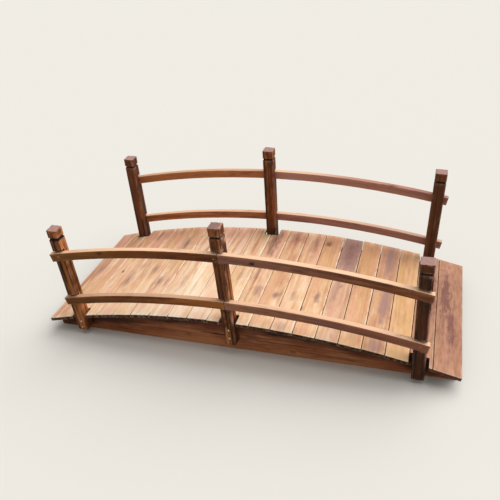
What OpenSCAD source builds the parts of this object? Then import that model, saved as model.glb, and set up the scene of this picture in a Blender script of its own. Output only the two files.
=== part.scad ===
// Garden moon bridge: an arched plank deck on two plank beams, with three
// posts a side and two arched rails a side. Millimetres, +Z up, X along the
// bridge. The origin is on the ground, under the middle of the deck. The arch
// and the middle posts are a little to its left.

/* [Deck] */
// Number of boards across the deck
board_count = 20; // [16:2:22]
// Distance from one board to the next, along the arch
board_pitch = 90; // [80:1:95]
// Gap between two boards
board_gap = 3; // [1:0.5:6]
// Width of the board at the left end
left_end_board = 82; // [70:1:110]
// Width of the board at the right end
right_end_board = 107; // [70:1:110]
// Thickness of a board
board_t = 16; // [12:1:22]
// Width of the deck, the length of a board
deck_w = 734; // [600:2:900]
// Radius of the deck's top surface
deck_r = 3370; // [3200:10:5000]
// Height of the top of the arch above the ground
crown_z = 190; // [185:1:260]

/* [Beams] */
// Thickness of a beam
beam_t = 28; // [20:1:45]
// How far a beam stops short of the deck's ends
beam_inset = 14; // [0:1:40]
// Overhang of the deck outside the beams
deck_overhang = 55; // [52:1:80]

/* [Posts] */
// Side of the square posts
post_w = 50; // [40:1:51]
// Heights of the near posts above the deck, from left to right
near_post_h = [446, 442, 453]; // [400:1:520]
// The same for the far posts
far_post_h = [455, 446, 456]; // [400:1:520]
// From the middle posts to the near post at the left end
near_left_post = 721; // [560:1:735]
// From the middle posts to the far post at the left end
far_left_post = 731; // [560:1:735]
// From the middle posts to the posts at the right end
right_post = 751; // [560:1:760]
// How far the far posts lean to the right, in degrees
far_lean = 2; // [0:0.5:3]
// The same for the far post at the right end
far_right_lean = 3; // [0:0.5:4]
// Depth of the middle posts' feet below the deck's top
middle_foot = 126; // [90:1:150]
// Depth of the end posts' feet below the deck's top
end_foot = 84; // [60:1:88]
// Clear space between a post and its notch in the deck
notch_gap = 12; // [2:1:16]
// Height of the square cap above the groove
cap_h = 36; // [20:1:50]
// Width of the groove round a post, at the surface
groove_w = 12; // [6:1:16]
// Depth of the groove
groove_d = 6; // [3:0.5:8]
// Chamfer of the posts' long edges
post_chamfer = 3; // [1:0.5:5]

/* [Rails] */
// Height of a rail
rail_h = 38; // [30:1:44]
// Thickness of a rail
rail_t = 24; // [18:1:28]
// Top of the upper rails above the deck
upper_rail = 331; // [290:1:350]
// Top of the lower rails above the deck
lower_rail = 105; // [90:1:150]
// How far a rail stands proud of the posts' outer faces
rail_proud = 5; // [0:1:10]
// How far a rail runs on past the outer face of an end post
rail_tail = 10; // [5:1:40]
// The same for the near rails at the left end
near_left_tail = 17; // [5:1:40]
// The same for the far rails at the right end
far_right_tail = 27; // [5:1:40]
// Room above a rail in its housing in a post
housing_slack = 8; // [0:1:12]

/* [Hidden] */
arch_fn = 1440;
// Beyond any part of the bridge, for cutting shapes
far_away = 3000;

// The pieces are drawn round an arch centred on the Y axis, far below the
// ground, and then moved so that the middle of the deck is over the origin
arch_z = crown_z - deck_r;
board_step = board_pitch / deck_r * 180 / PI;
board_w = board_pitch - board_gap;
end_angle = (board_count - 1) / 2 * board_step;
// From the middle of an end board to the end of the deck
left_reach = left_end_board - board_w / 2;
right_reach = right_end_board - board_w / 2;
left_end_x = deck_r * sin(end_angle) + left_reach * cos(end_angle);
right_end_x = deck_r * sin(end_angle) + right_reach * cos(end_angle);
deck_middle = (right_end_x - left_end_x) / 2;

beam_out = deck_w / 2 - deck_overhang;
post_out = beam_out + post_w;
rail_out = post_out + rail_proud;
rail_in = rail_out - rail_t;
butt_gap = 1;

POST_NAMES = ["left", "middle", "right"];
POST_FOOT = [end_foot, middle_foot, end_foot];
SIDES = ["near", "far"];
LEVELS = ["upper", "lower"];
RAIL_ENDS = ["left", "right"];

deck_colour = [0.70, 0.50, 0.36];
post_colour = [0.30, 0.17, 0.11];
rail_colour = [0.45, 0.27, 0.19];
beam_colour = [0.38, 0.21, 0.14];

function board_name(i) = str("deck_board_", i < 10 ? "0" : "", i);
function post_name(side, place) = str("post_", side, "_", place);
function rail_name(level, side, end) = str("rail_", level, "_", side, "_", end);
function beam_name(side) = str("beam_", side);

// -1 on the near side, which faces -Y, and 1 on the far side
function side_sign(side) = side == "near" ? -1 : 1;
function lean(side, index) = side == "near" ? 0 : index == 2 ? far_right_lean : far_lean;
function left_post(side) = side == "near" ? near_left_post : far_left_post;
function post_x(side, index) = [-left_post(side), 0, right_post][index];
function post_height(side, index) = side == "near" ? near_post_h[index] : far_post_h[index];

// Height of the arch with radius r at a distance x from the middle
function arch_height(r, x) = arch_z + sqrt(r * r - x * x);

// Stands an outline in X and Z between two distances from the middle line
module stand(side, inner, outer) {
    y_high = side == "near" ? -inner : outer;
    translate([0, y_high, 0])
        rotate([90, 0, 0])
            linear_extrude(outer - inner)
                children();
}

// Ring piece round the arch's centre, between two angles from upright
module arch_band(r_low, r_high, from_angle, to_angle) {
    reach = 2 * r_high;
    translate([0, arch_z])
        intersection() {
            difference() {
                circle(r_high, $fn = arch_fn);
                circle(r_low, $fn = arch_fn);
            }
            polygon([
                [0, 0],
                reach * [sin(from_angle), cos(from_angle)],
                reach * [sin(to_angle), cos(to_angle)]
            ]);
        }
}

module deck_board(i) {
    angle = (i - (board_count + 1) / 2) * board_step;
    left = i == 1 ? left_reach : board_w / 2;
    right = i == board_count ? right_reach : board_w / 2;
    notch_w = post_w + 2 * notch_gap;
    color(deck_colour)
        difference() {
            translate([0, 0, arch_z])
                rotate([0, angle, 0])
                    translate([-left, -deck_w / 2, deck_r - board_t])
                        cube([left + right, deck_w, board_t]);
            for (side = SIDES)
                for (index = [0:len(POST_NAMES) - 1])
                    translate([post_x(side, index) - notch_w / 2, 0, 0])
                        stand(side, beam_out, far_away)
                            square([notch_w, 2 * crown_z]);
        }
}

// Square with its corners cut off
module post_outline() {
    h = post_w / 2;
    k = h - post_chamfer;
    polygon([[h, -k], [h, k], [k, h], [-k, h], [-h, k], [-h, -k], [-k, -h], [k, -h]]);
}

// V-shaped groove round a post, whose middle is at the origin
module post_groove() {
    for (turn = [0:90:270])
        rotate([0, 0, turn])
            translate([post_w / 2, 0, 0])
                rotate([90, 0, 0])
                    linear_extrude(2 * post_w, center = true)
                        polygon([[-groove_d, 0], [groove_d, groove_w], [groove_d, -groove_w]]);
}

// Housing for a rail in the outer faces of the posts
module rail_housing(side, height) {
    r_top = deck_r + height;
    stand(side, rail_in, far_away)
        arch_band(r_top - rail_h, r_top + housing_slack, -20, 20);
}

// A post leans about the point where its middle meets the deck's top
module post(side, index) {
    x = post_x(side, index);
    y = side_sign(side) * (post_out - post_w / 2);
    foot = -POST_FOOT[index];
    top = post_height(side, index);
    color(post_colour)
        difference() {
            translate([x, y, arch_height(deck_r, x)])
                rotate([0, lean(side, index), 0])
                    difference() {
                        translate([0, 0, foot]) linear_extrude(top - foot) post_outline();
                        translate([0, 0, top - cap_h - groove_w / 2]) post_groove();
                    }
            rail_housing(side, upper_rail);
            rail_housing(side, lower_rail);
        }
}

module rail(level, side, end) {
    height = level == "upper" ? upper_rail : lower_rail;
    r_top = deck_r + height;
    // The rails have moved along with the middle post
    shift = (height - rail_h / 2) * tan(lean(side, 1));
    tail = side == "near" && end == "left" ? near_left_tail
        : side == "far" && end == "right" ? far_right_tail
        : rail_tail;
    reach = (end == "left" ? left_post(side) : right_post) + post_w / 2 + tail;
    span = end == "left"
        ? [shift - reach, shift - butt_gap / 2]
        : [shift + butt_gap / 2, shift + reach];
    color(rail_colour)
        stand(side, rail_in, rail_out)
            arch_band(r_top - rail_h, r_top, asin(span[0] / r_top), asin(span[1] / r_top));
}

// Place on a board's underside, from its angle and the distance from its middle
function under_board(angle, along) =
    (deck_r - board_t) * [sin(angle), cos(angle)] + along * [cos(angle), -sin(angle)];

// Plank with a flat foot, its top cut to the undersides of the boards
module beam(side) {
    from = beam_inset - left_end_x;
    to = right_end_x - beam_inset;
    r_joint = (deck_r - board_t) / cos(board_step / 2);
    half = board_count / 2;
    color(beam_colour)
        stand(side, beam_out - beam_t, beam_out)
            intersection() {
                translate([from, 0]) square([to - from, crown_z]);
                translate([0, arch_z])
                    polygon(concat(
                        [[-far_away, 0], under_board(-end_angle, -left_reach)],
                        [for (k = [1 - half:half - 1]) r_joint * [sin(k * board_step), cos(k * board_step)]],
                        [under_board(end_angle, right_reach), [far_away, 0]]
                    ));
            }
}

translate([-deck_middle, 0, 0]) {
    for (i = [1:board_count])
        deck_board(i);
    for (side = SIDES)
        for (index = [0:len(POST_NAMES) - 1])
            post(side, index);
    for (level = LEVELS)
        for (side = SIDES)
            for (end = RAIL_ENDS)
                rail(level, side, end);
    for (side = SIDES)
        beam(side);
}
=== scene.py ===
"""Garden moon bridge in burnt and stained fir: its worn timber, its screws, and
the studio it stands in. Metres, +Z up, X along the bridge, near side at -Y."""
import math
import random

import bmesh
import bpy
from mathutils import Matrix, Vector, noise
from mathutils.kdtree import KDTree


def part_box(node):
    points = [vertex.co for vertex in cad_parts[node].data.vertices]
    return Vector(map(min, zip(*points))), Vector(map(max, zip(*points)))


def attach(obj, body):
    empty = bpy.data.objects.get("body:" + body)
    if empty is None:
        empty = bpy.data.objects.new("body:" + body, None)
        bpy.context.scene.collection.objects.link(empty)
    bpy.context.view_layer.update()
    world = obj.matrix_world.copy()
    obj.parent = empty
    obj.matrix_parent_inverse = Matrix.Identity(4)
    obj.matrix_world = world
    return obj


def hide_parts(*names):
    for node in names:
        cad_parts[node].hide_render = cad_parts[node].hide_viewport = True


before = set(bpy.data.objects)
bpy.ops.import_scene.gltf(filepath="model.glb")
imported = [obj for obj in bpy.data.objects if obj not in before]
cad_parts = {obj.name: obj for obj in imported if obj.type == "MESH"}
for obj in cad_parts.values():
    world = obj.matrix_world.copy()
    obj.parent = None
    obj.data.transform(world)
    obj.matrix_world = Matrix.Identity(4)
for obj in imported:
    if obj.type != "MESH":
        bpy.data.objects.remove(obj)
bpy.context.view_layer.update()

# The deck, the posts and the rails, as the solids have them
BOARD_COUNT = 20
BOARD_PITCH = 0.090
BOARD_THICKNESS = 0.016
DECK_RADIUS = 3.370
DECK_TOP = 0.190
POST_WIDTH = 0.050
POST_CHAMFER = 0.003
CAP_HEIGHT = 0.036
FAR_LEAN = {"left": math.radians(2), "middle": math.radians(2), "right": math.radians(3)}
RAIL_TOP = {"upper": 0.331, "lower": 0.105}
RAIL_HEIGHT = 0.038
# The arch is centred on the near middle post
ARCH_X = sum(corner.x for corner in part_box("post_near_middle")) / 2
ARCH_CENTRE = Vector((ARCH_X, 0, DECK_TOP - DECK_RADIUS))
BOARD_STEP = BOARD_PITCH / DECK_RADIUS

PLACES = ["left", "middle", "right"]
SIDES = ["near", "far"]
LEVELS = ["upper", "lower"]
RAIL_ENDS = ["left", "right"]

# Edges that turn by more than this are eased
SHARP = math.radians(20)
# How far they are eased, on most timber and on the boards
ARRIS = 0.0014
BOARD_ARRIS = 0.0009
# How far from an edge its wear reaches
EDGE_REACH = 0.006
# Spacing of the extra cuts along the grain, across it and into the timber
BOARD_CUTS = (0.008, 0.0065, 0.006)
POST_CUTS = (0.010, 0.003, 0.003)
BEAM_CUTS = (0.012, 0.007, 0.007)
# Spacing of the cuts along a rail
RAIL_CUT = 0.010
COARSE = 1.0
# How fast the ripples, the rubbing and the furrows change along the grain, across it and into the timber
RIPPLES = (5, 75, 75)
RUBBING = (16, 30, 30)
FURROWS = (1.9, 95, 95)


def outward(side):
    """Which way along Y the outer faces of a side look."""
    return -1 if side == "near" else 1


def smooth_step(value, low, high):
    """Nought below low, one above high, and smooth between them."""
    share = max(0.0, min(1.0, (value - low) / (high - low)))
    return share * share * (3 - 2 * share)


def srgb(red, green, blue):
    """Linear colour from the 0 to 255 values of a colour picker."""
    def linear(value):
        share = value / 255
        return share / 12.92 if share <= 0.04045 else ((share + 0.055) / 1.055) ** 2.4
    return (linear(red), linear(green), linear(blue), 1.0)


def grey(value):
    return (value, value, value, 1.0)


def swell(place, stretch, shift=0.0):
    """Smooth noise about nought, which changes faster along an axis with a larger stretch."""
    return noise.noise(Vector((place.x * stretch[0], place.y * stretch[1] + shift, place.z * stretch[2])))


def leaning(angle):
    """Directions up and right for something that leans to the right, as the arch does to its right."""
    return Vector((math.sin(angle), 0, math.cos(angle))), Vector((math.cos(angle), 0, -math.sin(angle)))


def add_object(name, data):
    piece = bpy.data.objects.new(name, data)
    bpy.context.scene.collection.objects.link(piece)
    return piece


# Materials

class Nodes:
    """Adds nodes to the tree of a material or the world. An input is a socket to link or a plain value."""

    def __init__(self, tree):
        self.tree = tree

    def add(self, kind, inputs, **settings):
        node = self.tree.nodes.new("ShaderNode" + kind)
        for name, value in settings.items():
            setattr(node, name, value)
        for name, value in inputs.items():
            if isinstance(value, bpy.types.NodeSocket):
                self.tree.links.new(value, node.inputs[name])
            else:
                node.inputs[name].default_value = value
        return node

    def maths(self, operation, *values, clamp=False):
        inputs = dict(enumerate(values))
        return self.add("Math", inputs, operation=operation, use_clamp=clamp).outputs[0]

    def total(self, *values):
        found = values[0]
        for value in values[1:]:
            found = self.maths("ADD", found, value)
        return found

    def mix(self, share, first, second):
        return self.add("MixRGB", {"Fac": share, "Color1": first, "Color2": second}).outputs[0]

    def attribute(self, name, output="Fac"):
        return self.add("Attribute", {}, attribute_name=name).outputs[output]

    def stretched(self, vector, stretch):
        return self.add("VectorMath", {0: vector, 1: stretch}, operation="MULTIPLY").outputs[0]

    def noise(self, vector, stretch, detail=2.0, roughness=0.5):
        inputs = {"Vector": self.stretched(vector, stretch), "Scale": 1.0,
                  "Detail": detail, "Roughness": roughness}
        return self.add("TexNoise", inputs).outputs["Fac"]

    def swing(self, vector, stretch, size, detail=2.0):
        """Noise that swings to both sides of nought by up to about half of size."""
        middle = self.maths("SUBTRACT", self.noise(vector, stretch, detail), 0.5)
        return self.maths("MULTIPLY", middle, size)

    def step(self, value, low, high):
        """Nought below low, one above high, and smooth between them."""
        inputs = {"Value": value, "From Min": low, "From Max": high}
        return self.add("MapRange", inputs, interpolation_type="SMOOTHSTEP").outputs[0]

    def ramp(self, value, stops):
        node = self.add("ValToRGB", {"Fac": value})
        elements = node.color_ramp.elements
        while len(elements) < len(stops):
            elements.new(0.5)
        for element, (place, colour) in zip(elements, stops):
            element.position = place
            element.color = colour
        return node.outputs["Color"]


def new_material(name):
    """A material with an empty tree, and what adds nodes to it."""
    material = bpy.data.materials.new(name)
    material.use_nodes = True
    material.node_tree.nodes.clear()
    return material, Nodes(material.node_tree)


# Colours of the woods, the width of their rings, and how strongly each kind of mark shows on them. Some
# colours stand in for light: the recess colour is painted shade, the bleached colour of the tops also holds
# a painted sky sheen, the worn colour also paints highlights on some boards' right edges, and the deck's
# end-grain colour is partly painted shade
WOODS = {
    "deck_wood": dict(
        pale=srgb(255, 238, 210), middle=srgb(245, 202, 160), dark=srgb(186, 112, 76),
        char=srgb(132, 88, 76), worn=srgb(255, 234, 200), bleached_and_sheen=srgb(252, 216, 182),
        # The deck's end-grain colour is near black: dark end grain and painted shade on the boards' ends
        end_grain_and_shade=srgb(56, 32, 22), orange=srgb(208, 158, 88), plum=srgb(150, 108, 104),
        blush=srgb(232, 164, 138), recess_shade=srgb(70, 42, 28), ring_width=0.0085, ring_depth=0.12,
        streak_depth=0.8, mottling=0.8, stripe_depth=0.2, blushing=0.65, gilding=0.32, burnt=0.25,
        bleach_and_sheen=0.15, wear=0.6),
    "post_wood": dict(
        pale=srgb(206, 134, 78), middle=srgb(118, 68, 36), dark=srgb(34, 20, 10),
        char=srgb(16, 10, 6), worn=srgb(230, 172, 146), bleached_and_sheen=srgb(176, 138, 130),
        end_grain_and_shade=srgb(170, 132, 124), orange=srgb(202, 118, 50), plum=srgb(92, 62, 48),
        blush=srgb(116, 58, 36), recess_shade=srgb(16, 10, 6), ring_width=0.0090, ring_depth=0.20,
        streak_depth=0.7, mottling=0.6, stripe_depth=0.45, blushing=0.5, gilding=0.15, burnt=0.3,
        bleach_and_sheen=0.8, wear=0.8),
    "rail_wood": dict(
        pale=srgb(190, 116, 60), middle=srgb(120, 64, 28), dark=srgb(46, 22, 9),
        char=srgb(26, 13, 8), worn=srgb(236, 182, 140), bleached_and_sheen=srgb(246, 202, 166),
        end_grain_and_shade=srgb(110, 66, 38), orange=srgb(172, 112, 46), plum=srgb(194, 146, 136),
        blush=srgb(128, 60, 38), recess_shade=srgb(26, 13, 8), ring_width=0.0080, ring_depth=0.15,
        streak_depth=0.8, mottling=0.8, stripe_depth=0.3, blushing=0.5, gilding=0.2, burnt=0.45,
        bleach_and_sheen=1.0, wear=0.35),
    "beam_wood": dict(
        pale=srgb(212, 140, 94), middle=srgb(164, 102, 68), dark=srgb(70, 40, 25),
        char=srgb(36, 23, 17), worn=srgb(220, 138, 80), bleached_and_sheen=srgb(170, 108, 70),
        end_grain_and_shade=srgb(90, 54, 34), orange=srgb(190, 104, 50), plum=srgb(98, 60, 48),
        blush=srgb(156, 78, 50), recess_shade=srgb(36, 23, 17), ring_width=0.0120, ring_depth=0.18,
        streak_depth=0.9, mottling=0.8, stripe_depth=0.25, blushing=0.5, gilding=0.2, burnt=0.45,
        bleach_and_sheen=0.0, wear=0.6),
}


def wood_material(name, look):
    """Fir with rings, streaks, burnt patches and worn edges, in grain coordinates."""
    material, g = new_material(name)
    grain = g.attribute("grain", "Vector")
    across, deep = g.add("SeparateXYZ", {"Vector": grain}).outputs[1:]

    # Growth rings round the pith, bent a little
    sideways = g.total(across, g.swing(grain, (1.4, 9, 9), 0.034), g.swing(grain, (7, 40, 40), 0.006))
    inwards = g.total(deep, g.swing(grain, (1.1, 8, 8), 0.030))
    ring_place = g.add("CombineXYZ", {"X": 0.0, "Y": sideways, "Z": inwards}).outputs[0]
    radius = g.add("VectorMath", {0: ring_place}, operation="LENGTH").outputs["Value"]
    radius = g.total(radius, g.swing(grain, (0.6, 60, 60), 0.008))
    ring_phase = g.maths("FRACT", g.maths("DIVIDE", radius, look["ring_width"]))
    ring = g.ramp(ring_phase, [(0.0, grey(0.0)), (0.55, grey(0.35)), (0.86, grey(1.0)), (1.0, grey(0.1))])

    # Noise of several sizes, all drawn out along the grain
    streak = g.noise(grain, (4.2, 64, 64), 4.0, 0.62)
    broad = g.noise(grain, (2.8, 18, 18), 2.0)
    mottle = g.noise(grain, (15, 42, 42), 3.0, 0.6)
    fibre = g.noise(grain, (60, 1300, 1300), 2.0)
    blotch = g.noise(grain, (8, 26, 26), 4.0, 0.62)
    blush = g.noise(grain, (3.2, 14, 14), 3.0)
    gold = g.noise(grain, (2.8, 13, 13), 3.0)

    # From pale to dark timber, then redder and more orange in places
    depth = look["streak_depth"]
    streaky = g.maths("MULTIPLY", g.total(1.0, g.attribute("streaky")), depth * 1.1)
    darkness = g.total(
        0.40,
        g.attribute("tone"),
        g.maths("MULTIPLY", g.attribute("furrow"), look["stripe_depth"]),
        g.maths("MULTIPLY", g.maths("SUBTRACT", ring, 0.45), look["ring_depth"]),
        g.maths("MULTIPLY", g.maths("SUBTRACT", streak, 0.5), streaky),
        g.maths("MULTIPLY", g.maths("SUBTRACT", broad, 0.5), depth * 0.8),
        g.maths("MULTIPLY", g.maths("SUBTRACT", mottle, 0.5), look["mottling"]),
        g.maths("MULTIPLY", g.maths("SUBTRACT", fibre, 0.5), 0.25),
    )
    colour = g.ramp(darkness, [(0.0, look["pale"]), (0.45, look["middle"]), (1.0, look["dark"])])
    blushing = g.total(g.attribute("blush"),
                       g.maths("MULTIPLY", g.step(blush, 0.45, 0.70), look["blushing"]))
    colour = g.mix(blushing, colour, look["blush"])
    orange = g.total(g.maths("MULTIPLY", g.attribute("orange"), 0.7),
                     g.maths("MULTIPLY", g.step(gold, 0.50, 0.68), look["gilding"]))
    colour = g.mix(orange, colour, look["orange"])
    colour = g.mix(g.maths("MULTIPLY", g.attribute("plum"), g.total(0.25, streak)), colour, look["plum"])

    # Bleached tops with a painted sky sheen, the ends of the grain, partly painted shade on the deck's board
    # ends, and rubbed edges, on some boards' right edges painted highlights
    top = g.maths("MULTIPLY", g.attribute("sky"), look["bleach_and_sheen"])
    colour = g.mix(g.maths("MULTIPLY", top, g.step(g.total(streak, g.swing(grain, (20, 90, 90), 0.4)),
                                                   0.12, 0.48)), colour, look["bleached_and_sheen"])
    # End faces take the end colour, which on the deck is partly painted shade
    colour = g.mix(g.maths("MULTIPLY", g.attribute("end"), g.total(0.45, streak)), colour, look["end_grain_and_shade"])
    rubbed = g.step(g.noise(grain, (22, 70, 70), 3.0), 0.38, 0.62)
    # The worn colour on edges, which on some boards' right edges is also a painted highlight
    worn = g.maths("MULTIPLY", g.maths("MULTIPLY", g.attribute("edge"), rubbed), look["wear"])
    colour = g.mix(worn, colour, look["worn"])

    # Burnt patches, fewer where the top is bleached and sheened. The painted patches also carry the beam's
    # painted shade close under the deck. Then painted shade in the grooves, housings and gaps between boards
    open_to_sky = g.maths("SUBTRACT", 1.0, g.maths("MULTIPLY", top, 0.75))
    burnt = g.maths("MULTIPLY", g.maths("MULTIPLY", g.step(blotch, 0.56, 0.76), look["burnt"]), open_to_sky)
    patchy = g.step(g.noise(grain, (22, 95, 95), 4.0, 0.7), 0.36, 0.64)
    painted = g.maths("MULTIPLY", g.attribute("scorch"),
                      g.total(0.15, streak, g.maths("MULTIPLY", patchy, 0.6)))
    scorched = g.maths("MAXIMUM", burnt, painted, clamp=True)
    colour = g.mix(scorched, colour, look["char"])
    # Painted shade, in the recess colour, in grooves, housings and the gaps between boards
    colour = g.mix(g.maths("MULTIPLY", g.attribute("shade_in_hollows"), 0.85), colour, look["recess_shade"])

    height = g.total(g.maths("MULTIPLY", ring, 0.5), g.maths("MULTIPLY", fibre, 0.35),
                     g.maths("MULTIPLY", streak, 0.5))
    bump = g.add("Bump", {"Height": height, "Strength": 0.6, "Distance": 0.0008})
    roughness = g.total(0.48, g.maths("MULTIPLY", streak, 0.3))
    surface = g.add("BsdfPrincipled", {"Base Color": colour, "Roughness": roughness,
                                       "Specular IOR Level": 0.16, "Normal": bump.outputs[0]})
    g.add("OutputMaterial", {"Surface": surface.outputs[0]})
    return material


def steel_material():
    """Dull zinc of the screw heads."""
    material, g = new_material("screw_steel")
    place = g.add("TexCoord", {}).outputs["Object"]
    spots = g.noise(place, (900, 900, 900), 3.0)
    colour = g.ramp(spots, [(0.38, srgb(255, 242, 226)), (0.64, srgb(224, 204, 178)),
                            (0.8, srgb(150, 112, 82))])
    colour = g.mix(g.attribute("stain"), colour, srgb(122, 82, 58))
    surface = g.add("BsdfPrincipled", {"Base Color": colour, "Metallic": 0.4,
                                       "Roughness": g.total(0.35, g.maths("MULTIPLY", spots, 0.2))})
    g.add("OutputMaterial", {"Surface": surface.outputs[0]})
    return material


# Timber meshes

class Patch:
    """A stained patch, whose middle is given along and across the grain from the piece's origin."""

    def __init__(self, kind, along, across, length, width, strength):
        self.kind = kind
        self.middle = (along, across)
        self.reach = (length / 2, width / 2)
        self.strength = strength

    def at(self, along, across):
        distance = math.hypot((along - self.middle[0]) / self.reach[0],
                              (across - self.middle[1]) / self.reach[1])
        if distance > 2:
            return 0.0
        ragged = 1 + 0.6 * noise.noise(Vector((along * 30, across * 75, self.reach[0] * 99)))
        return self.strength * max(0.0, 1 - (distance * ragged) ** 2)


def grain_frame(origin, along, across):
    """Matrix to the bridge's frame from coordinates along the grain, across it and into the timber."""
    deep = along.cross(across)
    return Matrix.Translation(origin) @ Matrix((along, across, deep)).transposed().to_4x4()


def sharp_edges(bm):
    return [e for e in bm.edges if len(e.link_faces) == 2 and e.calc_face_angle() > SHARP]


def edge_tree(edges):
    """Points along the edges, to find how far a vertex is from the nearest of them."""
    spacing = 0.003
    points = []
    for e in edges:
        start, end = (v.co for v in e.verts)
        count = max(1, math.ceil((end - start).length / spacing))
        points += [start.lerp(end, i / count) for i in range(count + 1)]
    tree = KDTree(len(points))
    for i, point in enumerate(points):
        tree.insert(point, i)
    tree.balance()
    return tree


def slice_along(bm, origin, direction, step):
    """Cuts the mesh square to a direction at even steps, so that its surface can bend."""
    places = [(v.co - origin).dot(direction) for v in bm.verts]
    low, high = min(places), max(places)
    count = max(1, round((high - low) / (step * COARSE)))
    for i in range(1, count):
        place = origin + direction * (low + (high - low) * i / count)
        bmesh.ops.bisect_plane(bm, geom=bm.verts[:] + bm.edges[:] + bm.faces[:],
                               plane_co=place, plane_no=direction)


def node_mesh(node):
    """The shape of a CAD node, with its vertices joined."""
    bm = bmesh.new()
    bm.from_mesh(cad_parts[node].data)
    bmesh.ops.remove_doubles(bm, verts=bm.verts, dist=1e-5)
    return bm


def solid_copy(node, grain, steps, ease=ARRIS):
    """The CAD node's shape with eased edges and extra cuts. Returns its bmesh and the tree of its edges."""
    bm = node_mesh(node)
    bmesh.ops.dissolve_limit(bm, angle_limit=math.radians(0.4), verts=bm.verts, edges=bm.edges)
    edges = sharp_edges(bm)
    tree = edge_tree(edges)
    bmesh.ops.bevel(bm, geom=edges, offset=ease, segments=2, profile=0.6, affect="EDGES",
                    clamp_overlap=True)
    for axis, step in zip(grain.to_3x3().transposed(), steps):
        slice_along(bm, grain.translation, axis, step)
    return bm, tree


class Timber:
    """One piece of timber: where its grain runs, and how dark, worn and burnt it is."""

    # How much less the sides wear than the rest
    tight = 0.0
    # Where the noise of the furrows begins and ends to cut one
    split = (0.05, 0.40)
    # How dark the furrows are
    furrow_mark = 1.0

    def __init__(self, node, slot, grain, pith, tone=0.0, orange=0.0, plum=0.0, patches=(),
                 relief=0.0004, furrow=0.0004, wear=0.0011):
        self.node = node
        self.slot = slot
        self.grain = grain
        self.pith = pith
        self.stain = (tone, orange, plum)
        self.patches = [Patch(*numbers) for numbers in patches]
        self.relief, self.furrow, self.wear = relief, furrow, wear
        self.chance = random.Random(node)
        self.seed = Vector((self.chance.uniform(0, 60), 0, 0))

    def stains(self, own):
        """How much darker, more orange and more plum the piece is at a place on it."""
        return self.stain

    def painted(self, kind, own):
        """How strong the patches of a kind are at a place on the piece."""
        return sum(p.at(own.x, own.y) for p in self.patches if p.kind == kind)

    def shade_in_hollows(self, own, sideways):
        """How much painted shade a place gets: one in a groove or housing, nought on the open faces."""
        return 0.0

    def rubbed(self, own):
        """How much the edges near a place are rubbed, from nought to one; above one on some boards' right
        edges, which also carry a painted highlight.
        """
        return 1.0

    def bleached_and_sheen(self, own):
        """How much the sun has faded the top to a pale colour, with a painted sky sheen on it, from nought
        to one.
        """
        return 1.0

    def streaky(self, own):
        """How much stronger the fine streaks are than on most timber."""
        return 0.0

    def finish(self, bm, tree, material):
        """Wears the mesh, writes what its material reads, and puts it in the node's place."""
        to_grain = self.grain.inverted()
        along, across = self.grain.to_3x3().transposed()[:2]
        bm.normal_update()
        moves = []
        facts = {name: [] for name in ("grain", "edge", "sky", "scorch", "furrow", "end", "shade_in_hollows",
                                       "tone", "orange", "plum", "blush", "streaky")}
        for v in bm.verts:
            own = to_grain @ v.co
            sideways = smooth_step(abs(v.normal.dot(across)), 0.70, 0.95)
            shade_in_hollows = self.shade_in_hollows(own, sideways)
            end = smooth_step(abs(v.normal.dot(along)), 0.70, 0.95)
            to_edge = tree.find(v.co)[2]
            edge = max(0.0, 1 - to_edge / EDGE_REACH) * (1 - shade_in_hollows)
            place = own + self.seed
            ripple = swell(place, RIPPLES)
            rub = swell(place, RUBBING, 9)
            furrow = smooth_step(swell(place, FURROWS, 5), *self.split)
            depth = (self.relief * (0.5 + 0.5 * ripple) + self.furrow * furrow
                     + self.wear * edge * edge * (0.55 + 0.45 * rub))
            moves.append(v.normal * -depth * (1 - self.tight * sideways) - along * self.shortened(own))
            facts["grain"].append(place + Vector((0, *self.pith)))
            facts["edge"].append(edge * (1 - 0.8 * end) * self.rubbed(own) + self.painted("worn", own))
            facts["sky"].append(smooth_step(v.normal.z, 0.45, 0.85) * self.bleached_and_sheen(own))
            facts["scorch"].append(self.painted("scorch", own))
            facts["furrow"].append(furrow * self.furrow_mark)
            facts["end"].append(end)
            for name, value in zip(("tone", "orange", "plum"), self.stains(own)):
                facts[name].append(value + self.painted(name, own))
            facts["blush"].append(self.painted("blush", own))
            facts["streaky"].append(self.streaky(own))
            facts["shade_in_hollows"].append(shade_in_hollows)
        for v, move in zip(bm.verts, moves):
            v.co += move
        mesh = bpy.data.meshes.new(self.node + "_timber")
        bm.to_mesh(mesh)
        bm.free()
        self.write(mesh, facts)
        mesh.shade_smooth()
        mesh.set_sharp_from_angle(angle=math.radians(38))
        mesh.materials.append(material)
        piece = add_object(self.node + "_timber", mesh)
        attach(piece, "root")
        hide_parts(self.node)

    def shortened(self, own):
        """How far a place moves along the grain, because the piece was cut a little short."""
        return 0.0

    def write(self, mesh, facts):
        flat = [x for vector in facts.pop("grain") for x in vector]
        mesh.attributes.new("grain", "FLOAT_VECTOR", "POINT").data.foreach_set("vector", flat)
        for name, values in facts.items():
            mesh.attributes.new(name, "FLOAT", "POINT").data.foreach_set("value", values)


# How far from its middle a board begins and ends to turn paler, to get painted shade at the sides, and to be
# short
PALE_END = (0.338, 0.360)
SHADED_END = (0.335, 0.355)
CUT_END = (0.33, 0.36)


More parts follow.
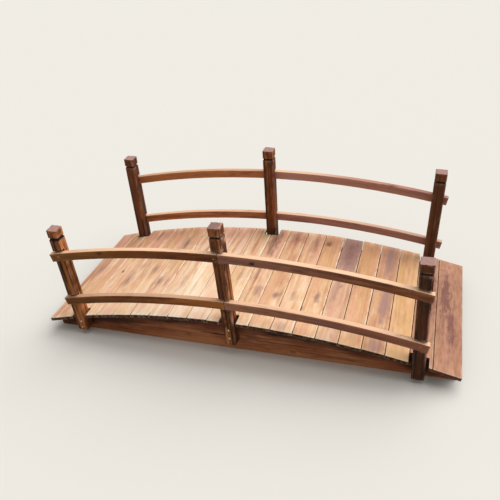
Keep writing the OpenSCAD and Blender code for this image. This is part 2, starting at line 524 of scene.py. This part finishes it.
class Board(Timber):
    """A board of the deck. Its looks change from the near end of the deck to the far one."""
    tight = 0.85
    # How much painted shade its sides get, as in the gaps between boards
    side_shade = 0.4
    # How worn its left and right edges are; above one, the right edge also carries a painted highlight
    left_edge = 0.6
    right_edge_and_highlight = 0.8
    # How much is cut off its near and far ends
    cuts = (0.0, 0.0)
    # How streaky it is, and how much more so at its far end
    streakiness = (0.1, 0.5)

    def far_share(self, own):
        """One at the far end of the deck, in streaks, and nought nearer."""
        streaks = 0.16 * noise.noise(Vector((0, own.y * 70, self.seed.x)))
        return smooth_step(own.x + streaks, 0.06, 0.30)

    def glow(self, own):
        """Above nought in the darker and redder streaks, and below it in the more orange ones."""
        return noise.noise(Vector((own.x * 7, own.y * 48, self.seed.x + 7)))

    def stains(self, own):
        """The far end of the deck is darker and redder, in streaks, and the near end paler; the darkening
        and the paling are painted shade and light.
        """
        tone, orange, plum = self.stain
        far = self.far_share(own)
        near = smooth_step(-own.x, 0.05, 0.34)
        frayed = smooth_step(abs(own.x), *PALE_END)
        glow = far * self.glow(own)
        # The far term darkens as painted shade, the near term pales as painted light
        return (tone + 0.18 * far + 0.42 * glow - 0.16 * near - 0.12 * frayed,
                orange + 0.2 * max(0.0, -glow), plum + 0.03 * far + 0.2 * max(0.0, glow))

    def painted(self, kind, own):
        found = super().painted(kind, own)
        if kind == "blush":
            found += self.far_share(own) * (0.24 + 0.5 * max(0.0, self.glow(own)))
        return found

    def streaky(self, own):
        everywhere, far = self.streakiness
        return everywhere + far * self.far_share(own)

    def shade_in_hollows(self, own, sideways):
        """The sides get painted shade, most of all at the ends, but not beside a right edge that carries a
        painted highlight.
        """
        pale = self.right_edge_and_highlight > 1 and own.y > 0
        at_end = smooth_step(abs(own.x), *SHADED_END)
        return max(0.0 if pale else self.side_shade, 0.9 * at_end) * sideways

    def rubbed(self, own):
        # Above one, the right edge is a painted highlight as well as worn
        return self.right_edge_and_highlight if own.y > 0 else self.left_edge

    def shortened(self, own):
        near, far = self.cuts
        return far * smooth_step(own.x, *CUT_END) - near * smooth_step(-own.x, *CUT_END)


class Post(Timber):
    """A post, with shade painted dark in its groove and housings, and rubbed along one arris."""
    # Its length, which post_frame works out
    length = 0.0
    # How worn its arrises are, and the one on the near side, to the right
    other_arris = 0.25
    worn_arris = 0.4
    # Height over its foot where that one's wear sets in, and where it is complete
    above_deck = (0.09, 0.14)

    def stains(self, own):
        """The cap is paler than the rest."""
        tone, orange, plum = self.stain
        cap = smooth_step(own.x, self.length / 2 - CAP_HEIGHT - 0.008, self.length / 2 - CAP_HEIGHT)
        return tone - 0.22 * cap, orange, plum

    def shade_in_hollows(self, own, sideways):
        """The groove and the housings lie inside the post's outline, and get painted shade."""
        side, corner = POST_WIDTH / 2, POST_WIDTH - POST_CHAMFER
        inside = min(side - abs(own.y), side - abs(own.z),
                     (corner - abs(own.y) - abs(own.z)) / math.sqrt(2))
        clear_of_ends = smooth_step(self.length / 2 - abs(own.x), 0.004, 0.008)
        return smooth_step(inside, 0.0003, 0.0020) * clear_of_ends

    def rubbed(self, own):
        """Hands and weather have rubbed down the arris on the near side, to the right, above the deck."""
        if own.y < 0 or own.z > 0:
            return self.other_arris
        share = smooth_step(own.x + self.length / 2, *self.above_deck)
        return self.other_arris + (self.worn_arris - self.other_arris) * share


class Rail(Timber):
    """Its stain holds those of its left and right ends, and the rail changes from one to the other."""
    # How far from its middle the change ends
    half_length = 0.36
    # How much darker its lower and upper edges are
    dark_edges = (0.0, 0.0)

    def stains(self, own):
        share = smooth_step(own.x, -self.half_length, self.half_length)
        left, right = self.stain
        tone, orange, plum = (a + (b - a) * share for a, b in zip(left[:3], right[:3]))
        low_edge = 1 - smooth_step(own.y, 0.002, 0.014)
        high_edge = smooth_step(own.y, RAIL_HEIGHT - 0.012, RAIL_HEIGHT - 0.002)
        return tone + self.dark_edges[0] * low_edge + self.dark_edges[1] * high_edge, orange, plum

    def bleached_and_sheen(self, own):
        left, right = self.stain[0][3], self.stain[1][3]
        return left + (right - left) * smooth_step(own.x, -self.half_length, self.half_length)


class Beam(Timber):
    """A beam, with shade painted on it, dark and down to near black, where the deck overhangs it."""

    def deck_shade(self, own, low, high):
        """How much painted shade falls from the deck: one close under its boards, and nought further down.
        """
        place = self.grain @ own
        top = ARCH_CENTRE.z + math.sqrt((DECK_RADIUS - BOARD_THICKNESS) ** 2 - (place.x - ARCH_X) ** 2)
        ragged = 0.010 * noise.noise(Vector((own.x * 9, own.y * 40, 0)))
        return 1 - smooth_step(top - place.z + ragged, low, high)

    def stains(self, own):
        """Painted shade where the deck overhangs it and, to the left, all over; paler along its foot as
        painted bounce light, less so to the left.
        """
        tone, orange, plum = self.stain
        shade = self.deck_shade(own, 0.046, 0.090)
        foot = self.grain.translation.z + own.y
        rim = 1 - smooth_step(foot, 0.010, 0.026)
        # The paler rim along the foot is painted bounce light
        left = smooth_step(-own.x, 0.25, 0.60)
        return (tone - 0.08 + 0.60 * shade + 0.16 * left - (0.42 - 0.3 * left) * rim,
                orange, plum + 0.2 * shade)

    def painted(self, kind, own):
        # Near black close under the boards: painted shade, drawn in the char colour
        burnt = 0.9 * self.deck_shade(own, 0.022, 0.044) if kind == "scorch" else 0.0
        return super().painted(kind, own) + burnt


# Deck boards

def board_frame(number):
    """Grain runs along the board, across the bridge. The origin is on its top, in its middle."""
    angle = (number - (BOARD_COUNT + 1) / 2) * BOARD_STEP
    up, right = leaning(angle)
    return grain_frame(ARCH_CENTRE + up * DECK_RADIUS, Vector((0, 1, 0)), right)


# What each board looks like: darker or paler than most, more orange, more plum
BOARD_STAINS = {
    1: (0.38, 0.05, 0.20), 2: (0.12, 0.15, 0.05), 3: (0.04, 0.15, 0.0), 4: (0.10, 0.05, 0.08),
    5: (0.05, 0.1, 0.05), 6: (-0.02, 0.0, 0.10), 7: (-0.06, 0.0, 0.14), 8: (-0.24, 0.0, 0.0),
    9: (-0.22, 0.0, 0.0), 10: (-0.03, 0.1, 0.0), 11: (0.12, 0.0, 0.12), 12: (0.20, 0.1, 0.05),
    13: (0.08, 0.1, 0.08), 14: (0.26, 0.35, 0.0), 15: (0.20, 0.1, 0.35), 16: (0.38, 0.35, 0.05),
    17: (0.44, 0.3, 0.25), 18: (0.24, 0.65, 0.0), 19: (0.80, 0.25, 0.35), 20: (0.90, 0.35, 0.30),
}
# Boards whose right edges are worn pale and carry a painted highlight, as on a sunlit arris
HIGHLIT_EDGES = {2: 2.0, 6: 2.4, 7: 2.0, 10: 2.6, 11: 2.0, 12: 1.3, 14: 2.6, 16: 1.8}
# Patches on the boards: kind, place along and across, length, width and strength. Scorch is
# burnt, tone is darker or, below nought, paler, blush is redder, and orange and plum are those colours
BOARD_PATCHES = {
    1: [("tone", 0.28, 0.010, 0.16, 0.022, 0.4), ("plum", 0.02, 0.012, 0.12, 0.06, 0.6),
        ("scorch", 0.02, 0.014, 0.06, 0.02, 0.4)],
    2: [("tone", 0.29, 0.002, 0.14, 0.016, 0.5), ("tone", 0.25, -0.01, 0.24, 0.06, 0.20),
        ("orange", 0.30, 0.0, 0.2, 0.08, 0.3)],
    3: [("scorch", -0.022, -0.002, 0.026, 0.012, 1.9), ("orange", 0.23, 0.0, 0.16, 0.08, 0.25),
        ("tone", 0.30, 0.020, 0.14, 0.020, 0.5), ("tone", 0.31, -0.01, 0.12, 0.07, 0.25),
        ("blush", 0.29, 0.010, 0.16, 0.07, 0.5)],
    4: [("plum", -0.09, -0.018, 0.20, 0.05, 0.7), ("scorch", -0.10, -0.020, 0.09, 0.02, 0.5),
        ("plum", 0.010, 0.010, 0.08, 0.04, 0.5), ("plum", 0.30, -0.030, 0.14, 0.022, 1.0),
        ("scorch", 0.30, -0.030, 0.10, 0.014, 0.6), ("tone", 0.31, 0.012, 0.14, 0.05, 0.45),
        ("blush", 0.28, 0.0, 0.18, 0.09, 0.6), ("plum", 0.30, 0.010, 0.12, 0.05, 0.4)],
    5: [("plum", -0.02, 0.004, 0.10, 0.05, 0.7), ("scorch", -0.02, 0.002, 0.05, 0.02, 0.4),
        ("tone", 0.29, 0.000, 0.18, 0.03, 0.45), ("plum", 0.32, 0.004, 0.12, 0.02, 0.5),
        ("tone", 0.30, -0.022, 0.12, 0.016, 0.6), ("orange", 0.24, -0.030, 0.16, 0.03, 0.4),
        ("blush", 0.26, 0.010, 0.18, 0.08, 0.6)],
    6: [("plum", -0.12, -0.018, 0.12, 0.045, 0.8), ("scorch", -0.12, -0.020, 0.05, 0.02, 0.5),
        ("plum", -0.125, 0.02, 0.10, 0.018, 0.8), ("plum", 0.20, -0.016, 0.17, 0.05, 1.0),
        ("scorch", 0.21, -0.014, 0.07, 0.018, 0.8), ("orange", 0.30, 0.0, 0.16, 0.10, 0.2)],
    7: [("plum", -0.13, 0.02, 0.14, 0.03, 0.4), ("orange", 0.26, -0.02, 0.2, 0.05, 0.3)],
    8: [("plum", -0.16, -0.01, 0.12, 0.02, 0.4), ("tone", 0.30, 0.030, 0.16, 0.020, 0.6),
        ("blush", 0.27, 0.0, 0.26, 0.12, 0.3), ("tone", 0.29, 0.008, 0.16, 0.016, 0.5)],
    9: [("tone", 0.22, -0.005, 0.22, 0.014, 0.6), ("blush", 0.27, 0.0, 0.28, 0.12, 0.3),
        ("tone", 0.31, 0.03, 0.16, 0.02, 0.5)],
    10: [("scorch", -0.04, 0.0, 0.12, 0.03, 0.4), ("tone", 0.19, -0.006, 0.16, 0.018, 0.5),
         ("orange", 0.28, 0.01, 0.16, 0.06, 0.25)],
    11: [("scorch", 0.26, -0.01, 0.30, 0.06, 0.8), ("plum", -0.14, 0.018, 0.10, 0.04, 0.9),
         ("scorch", 0.0, -0.02, 0.20, 0.03, 0.4)],
    12: [("scorch", 0.30, -0.004, 0.14, 0.06, 0.6), ("plum", -0.15, 0.012, 0.05, 0.045, 1.4)],
    13: [("scorch", 0.26, 0.01, 0.22, 0.05, 0.4), ("plum", -0.14, -0.005, 0.09, 0.03, 0.6),
         ("plum", -0.34, -0.01, 0.08, 0.05, 0.7)],
    14: [("scorch", 0.287, -0.018, 0.06, 0.04, 0.8), ("plum", -0.12, 0.004, 0.08, 0.032, 1.6),
         ("scorch", -0.212, -0.043, 0.05, 0.016, 0.9)],
    15: [("plum", 0.29, 0.0, 0.50, 0.16, 1.5), ("tone", 0.22, 0.0, 0.30, 0.14, 0.30),
         ("scorch", 0.24, 0.0, 0.22, 0.07, 0.6), ("plum", -0.03, -0.02, 0.28, 0.04, 0.5)],
    16: [("scorch", 0.10, -0.03, 0.30, 0.02, 0.3), ("plum", -0.30, 0.0, 0.10, 0.05, 0.5)],
    17: [("plum", 0.26, 0.005, 0.36, 0.06, 1.0), ("plum", -0.06, 0.012, 0.28, 0.055, 1.2),
         ("plum", -0.33, 0.0, 0.12, 0.07, 0.9)],
    18: [("scorch", 0.30, -0.02, 0.10, 0.03, 0.3)],
    # Board 19's long dark strip along its left side is painted shade
    19: [("scorch", 0.0, 0.0, 1.20, 0.30, 0.5), ("scorch", 0.10, 0.02, 0.40, 0.05, 0.6),
         ("tone", -0.10, -0.044, 0.90, 0.034, 1.6)],
    20: [("scorch", 0.0, 0.0, 1.20, 0.30, 0.6), ("scorch", 0.12, -0.01, 0.36, 0.04, 0.7),
         ("scorch", -0.10, 0.02, 0.30, 0.03, 0.6)],
}


# The nine boards at the left, which are streakier and stop a little shorter on the near side
LEFT_BOARDS = range(1, 10)


def deck_board(number, material):
    node = f"deck_board_{number:02d}"
    grain = board_frame(number)
    chance = random.Random("heart of " + node)
    pith = (chance.uniform(-0.06, 0.06), chance.uniform(0.025, 0.07))
    board = Board(node, "deck_wood", grain, pith, *BOARD_STAINS[number], BOARD_PATCHES[number],
                  relief=0.0003, furrow=0.0003, wear=0.0006)
    shorter = 0.0035 if number in LEFT_BOARDS else 0.0
    board.cuts = (chance.uniform(0, 0.0015) + shorter, chance.uniform(0, 0.003))
    board.right_edge_and_highlight = HIGHLIT_EDGES.get(number, board.right_edge_and_highlight)
    if number in LEFT_BOARDS:
        # Less painted shade on their sides
        board.side_shade = 0.15
        board.streakiness = (0.5, 2.0)
    bm, tree = solid_copy(node, grain, BOARD_CUTS, BOARD_ARRIS)
    board.finish(bm, tree, material)


# Posts, rails and beams

# What each post looks like: darker or paler than most, more orange, more plum
POST_STAINS = {
    "post_near_left": (-0.16, 0.15, 0.0), "post_far_left": (0.14, 0.0, 0.4),
    "post_near_middle": (0.14, 0.0, 0.0), "post_far_middle": (0.20, 0.0, 0.1),
    # The near right post's tone is far darker than the others'; the extra is painted shade
    "post_near_right": (0.45, 0.0, 0.0), "post_far_right": (0.18, 0.0, 0.6),
}
# How worn the arris on the near side, to the right, is on the near posts
WORN_ARRIS = {"post_near_left": 1.0, "post_near_middle": 1.3, "post_near_right": 1.0}
# Patches on the posts, from the post's middle, given as the boards' are. A worn patch is rubbed like an edge
POST_PATCHES = {
    "post_near_left": [
        ("scorch", 0.10, -0.0034, 0.36, 0.013, 1.1), ("scorch", 0.02, 0.0222, 0.40, 0.007, 0.8),
        ("orange", 0.00, 0.0102, 0.70, 0.023, 0.9), ("scorch", -0.03, -0.0239, 0.34, 0.009, 0.9),
        ("tone", -0.02, 0.0136, 0.38, 0.027, -0.65), ("tone", -0.20, -0.0023, 0.20, 0.045, -0.70),
        ("tone", -0.24, 0.0295, 0.16, 0.018, 0.25), ("tone", 0.18, 0.0295, 0.18, 0.018, -1.0),
        ("tone", 0.245, 0.0136, 0.05, 0.023, -0.9), ("tone", 0.248, 0.0295, 0.06, 0.018, 0.25),
        # The last patch, a band across the post under its cap, is painted shade in the groove
        ("tone", 0.00, 0.0295, 0.22, 0.018, 0.35), ("scorch", 0.222, 0.0, 0.020, 0.200, 1.0)],
    "post_near_middle": [
        ("tone", -0.12, -0.014, 0.09, 0.020, -0.40),
        ("tone", -0.03, 0.0295, 0.46, 0.018, -0.40), ("tone", 0.225, 0.0159, 0.12, 0.016, -0.45),
        ("worn", 0.225, 0.0182, 0.14, 0.013, 2.0), ("tone", 0.20, -0.0114, 0.14, 0.030, 0.25),
        ("scorch", 0.286, 0.0, 0.012, 0.300, 0.35),
        ("tone", -0.25, -0.0068, 0.16, 0.041, -0.60), ("scorch", -0.24, 0.0114, 0.16, 0.011, 0.9),
        # The last patch, a band across the post just under the lower rail, is painted shade
        ("tone", -0.16, 0.0182, 0.08, 0.018, 0.40), ("scorch", -0.10, 0.0, 0.02, 0.100, 0.5)],
    "post_far_left": [
        ("tone", -0.12, 0.015, 0.14, 0.020, 0.40), ("tone", 0.25, 0.0, 0.10, 0.200, 0.45),
        ("tone", -0.20, 0.0, 0.12, 0.200, 0.20), ("tone", 0.24, 0.0182, 0.07, 0.016, -0.70)],
    "post_far_middle": [
        ("tone", -0.10, -0.015, 0.14, 0.018, 0.45),
        ("scorch", 0.0, -0.0205, 0.60, 0.011, 0.9), ("tone", 0.06, -0.0023, 0.46, 0.025, -0.45),
        ("orange", -0.02, 0.0136, 0.30, 0.016, 0.5), ("tone", -0.15, 0.0, 0.08, 0.091, 0.35),
        ("tone", -0.16, 0.0205, 0.16, 0.016, 0.40), ("scorch", -0.02, 0.0068, 0.20, 0.006, 0.8),
        ("tone", 0.25, -0.0136, 0.10, 0.023, -0.30)],
}


def post_lean(side, place):
    return FAR_LEAN[place] if side == "far" else 0.0


def post_frame(side, place):
    """Grain runs up the post, which may lean along the bridge. The origin is in its middle.
    Returns the post's length too."""
    low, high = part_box(f"post_{side}_{place}")
    lean = post_lean(side, place)
    along, across = leaning(lean)
    length = (high.z - low.z - POST_WIDTH * math.sin(lean)) / math.cos(lean)
    return grain_frame((low + high) / 2, along, across), length


def post(side, place, material):
    node = f"post_{side}_{place}"
    chance = random.Random("heart of " + node)
    pith = (chance.uniform(-0.03, 0.03), chance.uniform(0.01, 0.03))
    grain, length = post_frame(side, place)
    stick = Post(node, "post_wood", grain, pith, *POST_STAINS[node], POST_PATCHES.get(node, ()),
                 relief=0.0005, furrow=0.0012, wear=0.0013)
    stick.length = length
    stick.worn_arris = WORN_ARRIS.get(node, stick.worn_arris)
    if node == "post_near_left":
        # Its furrows are wider and darker than on the others
        stick.split = (-0.10, 0.10)
        stick.furrow_mark = 1.7
    bm, tree = solid_copy(node, grain, POST_CUTS)
    stick.finish(bm, tree, material)


# Patches on both beams, from the beam's middle: two burnt marks, and a paler and a darker stretch
BEAM_PATCHES = [
    ("scorch", 0.240, -0.063, 0.03, 0.012, 1.4), ("tone", -0.14, -0.03, 0.56, 0.10, -0.16),
    ("scorch", -0.100, -0.018, 0.16, 0.010, 1.2), ("tone", -0.12, 0.0, 0.22, 0.05, 0.2),
]


def beam(side, material):
    node = f"beam_{side}"
    low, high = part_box(node)
    grain = grain_frame((low + high) / 2, Vector((1, 0, 0)), Vector((0, 0, 1)))
    chance = random.Random("heart of " + node)
    plank = Beam(node, "beam_wood", grain, (chance.uniform(-0.04, 0.04), 0.05), patches=BEAM_PATCHES)
    bm, tree = solid_copy(node, grain, BEAM_CUTS)
    plank.finish(bm, tree, material)


# What the rails look like at their left and right ends: tone, orange, plum and how bleached their tops
# are, with a painted sky sheen. Below nought, a top gets neither and shows more burnt patches
RAIL_STAINS = {
    "upper_near_left": ((0.02, 0.60, 0.0, 0.8), (0.06, 0.0, 0.0, 1.1)),
    "upper_near_right": ((-0.24, 0.0, 0.45, 1.1), (-0.06, 0.0, 0.10, 1.1)),
    "lower_near_left": ((0.14, 0.35, 0.0, 0.6), (-0.28, 0.1, 0.0, 0.65)),
    "lower_near_right": ((-0.34, 0.0, 0.45, 0.9), (-0.50, 0.0, 0.30, 1.0)),
    "upper_far_left": ((-0.40, 0.1, 0.15, 0.50), (-0.58, 0.0, 0.25, 0.60)),
    "upper_far_right": ((-0.62, 0.0, 1.1, 0.90), (-0.20, 0.0, 0.80, -1.1)),
    "lower_far_left": ((-0.32, 0.1, 0.1, 0.9), (-0.20, 0.0, 0.25, 0.9)),
    "lower_far_right": ((0.08, 0.0, 0.85, 0.9), (0.30, 0.0, 0.9, 0.5)),
}
# How much darker their lower and upper edges are
RAIL_EDGES = {
    "upper_near_left": (0.15, 0.0), "upper_near_right": (0.0, 0.18),
    "lower_near_left": (0.05, 0.12), "lower_near_right": (0.04, -0.06),
}
# Patches on the rails, from the middle of the lower edge, given as the boards' are: knots and dark marks,
# a redder stretch and a paler one
RAIL_PATCHES = {
    "upper_near_left": [("scorch", -0.133, 0.024, 0.03, 0.02, 0.9),
                        ("blush", 0.05, 0.012, 0.60, 0.06, 0.5)],
    "upper_near_right": [("scorch", -0.257, 0.008, 0.020, 0.014, 1.6),
                         ("tone", -0.02, 0.016, 0.20, 0.06, -0.14)],
    "lower_near_right": [("scorch", -0.262, 0.034, 0.014, 0.010, 1.2),
                         ("scorch", -0.341, 0.002, 0.012, 0.008, 1.0)],
}


# How many strips each flat of a rail's section is cut into
FLAT_STRIPS = 5
# How the ends are rounded: how far in, as a share of the arris, and how much the section shrinks there
END_ROUNDING = [(0.0, 0.0012), (0.35, 0.00036)]


def join_rings(bm, one, two):
    """Faces between two rings of vertices, which have as many each."""
    for i in range(len(one)):
        j = (i + 1) % len(one)
        bm.faces.new((one[i], one[j], two[j], two[i]))


def rail_section(centre, height, thickness):
    """Points round a rail's section, as radius and Y, with its four corners rounded."""
    straight = Vector((height / 2 - ARRIS, thickness / 2 - ARRIS))
    rounds = []
    for turn, (u, w) in enumerate([(1, 1), (-1, 1), (-1, -1), (1, -1)]):
        corner = centre + Vector((u * straight.x, w * straight.y))
        angles = [math.radians(90 * turn + 30 * part) for part in range(4)]
        rounds.append([corner + ARRIS * Vector((math.cos(a), math.sin(a))) for a in angles])
    points = []
    for one, two in zip(rounds, rounds[1:] + rounds[:1]):
        points += one
        points += [one[-1].lerp(two[0], i / FLAT_STRIPS) for i in range(1, FLAT_STRIPS)]
    return points


def rail_stations(angle_from, angle_to, radius):
    """Angles along a rail, each with how much its section shrinks there."""
    ease = ARRIS / radius
    count = round((angle_to - angle_from) * radius / (RAIL_CUT * COARSE))
    step = (angle_to - angle_from - 2 * ease) / count
    left = [(angle_from + share * ease, shrink) for share, shrink in END_ROUNDING]
    right = [(angle_to - share * ease, shrink) for share, shrink in reversed(END_ROUNDING)]
    return left + [(angle_from + ease + step * i, 0.0) for i in range(count + 1)] + right


def carry_round(section, centre, stations):
    """The mesh of a section that is carried round the arch."""
    bm = bmesh.new()
    rings = []
    for angle, shrink in stations:
        ring = []
        for point in section:
            arm = point - centre
            radius, y = centre + arm * (1 - shrink / arm.length)
            ring.append(bm.verts.new((ARCH_X + radius * math.sin(angle), y,
                                      ARCH_CENTRE.z + radius * math.cos(angle))))
        rings.append(ring)
    for one, two in zip(rings, rings[1:]):
        join_rings(bm, one, two)
    for ring in (rings[0], rings[-1]):
        bm.faces.new(ring)
    bmesh.ops.recalc_face_normals(bm, faces=bm.faces)
    return bm


def rail(level, side, end, material):
    """A rail follows the arch, so it is drawn round it, station by station."""
    key = f"{level}_{side}_{end}"
    node = "rail_" + key
    low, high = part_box(node)
    r_high = DECK_RADIUS + RAIL_TOP[level]
    r_low = r_high - RAIL_HEIGHT
    angle_from = math.asin((low.x - ARCH_X) / r_high)
    angle_to = math.asin((high.x - ARCH_X) / r_high)
    centre = Vector(((r_high + r_low) / 2, (low.y + high.y) / 2))
    section = rail_section(centre, RAIL_HEIGHT, high.y - low.y)
    bm = carry_round(section, centre, rail_stations(angle_from, angle_to, r_high))

    up, right = leaning((angle_from + angle_to) / 2)
    grain = grain_frame(ARCH_CENTRE + up * r_low + Vector((0, centre.y, 0)), right, up)
    solid = node_mesh(node)
    tree = edge_tree(sharp_edges(solid))
    solid.free()
    chance = random.Random("heart of " + node)
    bar = Rail(node, "rail_wood", grain, (chance.uniform(-0.03, 0.03), chance.uniform(0.01, 0.04)),
               patches=RAIL_PATCHES.get(key, ()))
    bar.stain = RAIL_STAINS[key]
    bar.dark_edges = RAIL_EDGES.get(key, bar.dark_edges)
    bar.finish(bm, tree, material)


# Screws

SCREW_RADIUS = 0.0050
# How far the tops of the heads stand from the bridge's middle line, on the rails and on the posts
RAIL_HEADS = 0.3666
POST_HEADS = 0.3614
# How far from the post's middle the two rails' screws stand at a butt joint
BUTT_SCREW = 0.0145
# How stained the right one of them is, from nought to one
BUTT_STAIN = 0.9
# Heights of the foot screws above the foot
FOOT_SCREWS = {"left": (0.018, 0.050), "middle": (0.036, 0.080), "right": (0.018, 0.050)}


def screw_head(bm, place, facing, turn, stain):
    """Adds a flat head with a cross in it, which faces one way along Y. Its stain is from nought to one."""
    radius = SCREW_RADIUS
    arm, half = 0.56 * radius, 0.13 * radius
    cross = []
    for quarter in range(4):
        spin = Matrix.Rotation(math.radians(90 * quarter), 2)
        cross += [spin @ Vector(c) for c in ((arm, -half), (arm, half), (half, half))]
    # Size round the rim, and depth under the top, from the back of the head to the cross's floor
    rim = [(1.0, 0.0022), (1.0, 0.0004), (0.93, 0.0001), (0.75, 0.0)]
    rings = []
    spin = Matrix.Rotation(math.radians(turn), 2)
    for size, depth in rim:
        rings.append([(spin @ c.normalized() * radius * size, depth) for c in cross])
    rings.append([(spin @ c, 0.0) for c in cross])
    rings.append([(spin @ c * 0.8, 0.0012) for c in cross])
    verts = [[bm.verts.new((place.x + c.x, place.y - facing * depth, place.z + c.y)) for c, depth in ring]
             for ring in rings]
    for one, two in zip(verts, verts[1:]):
        join_rings(bm, one, two)
    for ring in (verts[0], verts[-1]):
        middle = bm.verts.new(sum((v.co for v in ring), Vector()) / len(ring))
        ring.append(middle)
        for i in range(len(cross)):
            bm.faces.new((ring[i], ring[(i + 1) % len(cross)], middle))
    layer = bm.verts.layers.float["stain"]
    for v in sum(verts, []):
        v[layer] = stain


def rail_middle(level, x):
    """Height of the middle of a rail at a place x along the bridge."""
    radius = DECK_RADIUS + RAIL_TOP[level] - RAIL_HEIGHT / 2
    return ARCH_CENTRE.z + math.sqrt(radius ** 2 - (x - ARCH_X) ** 2)


def screws(side, material):
    """Screws through the rails into the posts, and through the posts' feet into the beam."""
    chance = random.Random("screws " + side)
    bm = bmesh.new()
    bm.verts.layers.float.new("stain")
    facing = outward(side)
    for place in PLACES:
        grain, length = post_frame(side, place)
        middle = grain.translation
        slope = math.tan(post_lean(side, place))
        across = (-BUTT_SCREW, BUTT_SCREW) if place == "middle" else (chance.uniform(-0.005, 0.005),)
        for level in LEVELS:
            height = rail_middle(level, middle.x)
            for shift in across:
                x = middle.x + (height - middle.z) * slope + shift
                z = rail_middle(level, x) + chance.uniform(-0.003, 0.002)
                stain = BUTT_STAIN if shift == BUTT_SCREW else chance.uniform(0.3, 0.7)
                screw_head(bm, Vector((x, facing * RAIL_HEADS, z)), facing, chance.uniform(0, 90), stain)
        for rise in FOOT_SCREWS[place]:
            spot = grain @ Vector((rise - length / 2, chance.uniform(-0.003, 0.003), 0))
            place_on_post = Vector((spot.x, facing * POST_HEADS, spot.z))
            screw_head(bm, place_on_post, facing, chance.uniform(0, 90), 0.0)
    bmesh.ops.recalc_face_normals(bm, faces=bm.faces)
    mesh = bpy.data.meshes.new("screws_" + side)
    bm.to_mesh(mesh)
    bm.free()
    mesh.materials.append(material)
    piece = add_object("screws_" + side, mesh)
    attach(piece, "root")


woods = {name: wood_material(name, look) for name, look in WOODS.items()}
steel = steel_material()
for number in range(1, BOARD_COUNT + 1):
    deck_board(number, woods["deck_wood"])
for side in SIDES:
    for place in PLACES:
        post(side, place, woods["post_wood"])
    for level in LEVELS:
        for end in RAIL_ENDS:
            rail(level, side, end, woods["rail_wood"])
    beam(side, woods["beam_wood"])
    screws(side, steel)


# Studio

# The camera's angles are in radians
CAMERA_PLACE = Vector((0.7364, -1.9710, 1.6747))
CAMERA_YAW = 0.3645
CAMERA_PITCH = 0.5768
CAMERA_ROLL = -0.1154
FOCAL_PIXELS = 567.4
PICTURE_WIDTH = 500
SENSOR_WIDTH = 36
FLOOR_HALF = 40.0
# How pale the floor is to the light, how strong the world is, and how much stronger the camera sees it
FLOOR_GREY = 0.22
WORLD_LIGHT = 0.42
WORLD_GLARE = 0.5


def set_camera():
    """The photograph's view: turned left by the yaw, tipped down by the pitch, and rolled."""
    forward = Vector((-math.sin(CAMERA_YAW) * math.cos(CAMERA_PITCH),
                      math.cos(CAMERA_YAW) * math.cos(CAMERA_PITCH), -math.sin(CAMERA_PITCH)))
    level = Vector((math.cos(CAMERA_YAW), math.sin(CAMERA_YAW), 0))
    above = level.cross(forward)
    right = level * math.cos(CAMERA_ROLL) + above * math.sin(CAMERA_ROLL)
    up = above * math.cos(CAMERA_ROLL) - level * math.sin(CAMERA_ROLL)
    data = bpy.data.cameras.new("camera")
    data.sensor_width = SENSOR_WIDTH
    data.lens = FOCAL_PIXELS / PICTURE_WIDTH * SENSOR_WIDTH
    camera = add_object("camera", data)
    camera.matrix_world = (Matrix.Translation(CAMERA_PLACE)
                           @ Matrix((right, up, -forward)).transposed().to_4x4())
    bpy.context.scene.camera = camera


def floor():
    """A pale floor, which throws less light up at the bridge than it shows to the camera."""
    material, g = new_material("floor")
    path = g.add("LightPath", {}).outputs
    seen = g.maths("MAXIMUM", path["Is Camera Ray"], path["Is Glossy Ray"])
    colour = g.mix(seen, grey(FLOOR_GREY), srgb(226, 223, 216))
    surface = g.add("BsdfDiffuse", {"Color": colour}).outputs[0]
    clear = g.add("BsdfTransparent", {}).outputs[0]
    from_below = g.add("NewGeometry", {}).outputs["Backfacing"]
    both = g.add("MixShader", {0: from_below, 1: surface, 2: clear}).outputs[0]
    g.add("OutputMaterial", {"Surface": both})
    mesh = bpy.data.meshes.new("floor")
    corners = [(u * FLOOR_HALF, w * FLOOR_HALF, 0) for u, w in ((-1, -1), (1, -1), (1, 1), (-1, 1))]
    mesh.from_pydata(corners, [], [(0, 1, 2, 3)])
    mesh.materials.append(material)
    piece = add_object("floor", mesh)


def sun(name, toward, softness, strength):
    """Soft light without fall-off, from the direction of a point, with its softness in degrees."""
    data = bpy.data.lights.new(name, "SUN")
    data.angle = math.radians(softness)
    data.energy = strength
    piece = add_object(name, data)
    piece.rotation_mode = "QUATERNION"
    piece.rotation_quaternion = (-Vector(toward)).to_track_quat("-Z", "Y")


def studio():
    floor()
    sun("key", toward=(0.55, 0.45, 1.0), softness=75, strength=2.8)
    world = bpy.data.worlds.new("world")
    world.use_nodes = True
    tree = world.node_tree
    tree.nodes.clear()
    g = Nodes(tree)
    path = g.add("LightPath", {}).outputs
    strength = g.total(WORLD_LIGHT, g.maths("MULTIPLY", path["Is Camera Ray"], WORLD_GLARE))
    sky = g.add("Background", {"Color": (1.0, 0.99, 0.97, 1.0), "Strength": strength})
    g.add("OutputWorld", {"Surface": sky.outputs[0]})
    bpy.context.scene.world = world
    bpy.context.scene.view_settings.view_transform = "Standard"


set_camera()
studio()
